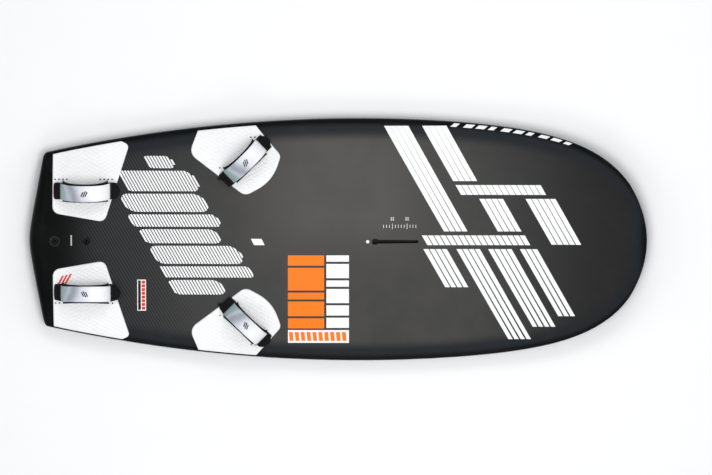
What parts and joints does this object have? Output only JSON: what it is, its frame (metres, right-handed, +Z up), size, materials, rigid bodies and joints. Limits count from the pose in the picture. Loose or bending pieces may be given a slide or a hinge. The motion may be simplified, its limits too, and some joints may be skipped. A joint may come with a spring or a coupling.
{
  "type": "windsurf hydrofoil board",
  "caption": "Wide flat-bottomed windsurf foil board with rounded nose and squared tail, deck pads, arched footstraps, mast track slot, vent screw and a foil socket under the tail.",
  "frame": {"origin": "on the plane of the flat bottom, under the middle of the board's length and width", "axes": "+X towards the nose, +Y to port, +Z up out of the deck"},
  "size_m": [2.15, 0.85, 0.179],
  "materials": {
    "core_foam": "white expanded foam beads, hidden inside",
    "deck_finish": "satin clear coat over dark carbon cloth, with a fine non-slip grain",
    "hull_finish": "smooth black paint",
    "dense_foam": "dense closed-cell foam, hidden inside",
    "pad_foam": "white embossed closed-cell foam",
    "black_plastic": "moulded glass-filled plastic",
    "black_rubber": "smooth black rubber",
    "pale_plastic": "pale grey moulded plastic",
    "tab_rubber": "black coated fabric, stitched",
    "plate_plastic": "black moulded plastic with a fine texture",
    "screw_steel": "stainless steel",
    "webbing": "black woven strap",
    "cover_skin": "white satin coated padded fabric with a silver sheen",
    "lining_foam": "black soft foam lining faced with knitted fabric"
  },
  "bodies": {
    "board": {"foam_core": "core_foam", "deck_shell": "deck_finish", "hull_shell": "hull_finish", "foil_box": "black_plastic", "foil_block": "dense_foam", "mast_track_box": "black_plastic", "mast_track_block": "dense_foam", "vent_housing": "black_plastic", "vent_o_ring": "black_rubber", "pad_rear_port": "pad_foam", "pad_rear_starboard": "pad_foam", "pad_front_port": "pad_foam", "pad_front_starboard": "pad_foam", "plug_rear_port_aft": "black_plastic", "plug_rear_port_fore": "black_plastic", "plug_rear_starboard_aft": "black_plastic", "plug_rear_starboard_fore": "black_plastic", "plug_front_port_aft": "black_plastic", "plug_front_port_fore": "black_plastic", "plug_front_starboard_aft": "black_plastic", "plug_front_starboard_fore": "black_plastic", "strap_tabs_rear_port": "tab_rubber", "strap_tabs_rear_starboard": "tab_rubber", "strap_tabs_front_port": "tab_rubber", "strap_tabs_front_starboard": "tab_rubber", "strap_plates_rear_port": "plate_plastic", "strap_plates_rear_starboard": "plate_plastic", "strap_plates_front_port": "plate_plastic", "strap_plates_front_starboard": "plate_plastic", "strap_screws_rear_port": "screw_steel", "strap_screws_rear_starboard": "screw_steel", "strap_screws_front_port": "screw_steel", "strap_screws_front_starboard": "screw_steel"},
    "strap_rear_port": {"strap_webbing_rear_port": "webbing", "strap_cover_rear_port": "cover_skin", "strap_lining_rear_port": "lining_foam"},
    "strap_rear_starboard": {"strap_webbing_rear_starboard": "webbing", "strap_cover_rear_starboard": "cover_skin", "strap_lining_rear_starboard": "lining_foam"},
    "strap_front_port": {"strap_webbing_front_port": "webbing", "strap_cover_front_port": "cover_skin", "strap_lining_front_port": "lining_foam"},
    "strap_front_starboard": {"strap_webbing_front_starboard": "webbing", "strap_cover_front_starboard": "cover_skin", "strap_lining_front_starboard": "lining_foam"},
    "vent_screw": {"vent_screw": "pale_plastic"}
  },
  "joints": [
    {"name": "strap_rear_port_lean", "type": "hinge", "parent": "board", "child": "strap_rear_port", "pos_m": [-0.87749, 0.17879, 0.10988], "axis": [0.9998, 0.0015, 0.0193], "range_deg": [-18, 18], "stiffness_Nm_per_rad": 0.15},
    {"name": "strap_rear_starboard_lean", "type": "hinge", "parent": "board", "child": "strap_rear_starboard", "pos_m": [-0.87749, -0.17879, 0.10988], "axis": [0.9998, -0.0015, 0.0193], "range_deg": [-18, 18], "stiffness_Nm_per_rad": 0.15},
    {"name": "strap_front_port_lean", "type": "hinge", "parent": "board", "child": "strap_front_port", "pos_m": [-0.3229, 0.28407, 0.11223], "axis": [0.7172, 0.6938, -0.0645], "range_deg": [-18, 18], "stiffness_Nm_per_rad": 0.15},
    {"name": "strap_front_starboard_lean", "type": "hinge", "parent": "board", "child": "strap_front_starboard", "pos_m": [-0.3229, -0.28407, 0.11223], "axis": [0.7172, -0.6938, -0.0645], "range_deg": [-18, 18], "stiffness_Nm_per_rad": 0.15},
    {"name": "vent_screw_turn", "type": "hinge", "parent": "board", "child": "vent_screw", "pos_m": [0.103, 0, 0.1039], "axis": [0, 0, 1], "range_deg": [0, 360]}
  ]
}
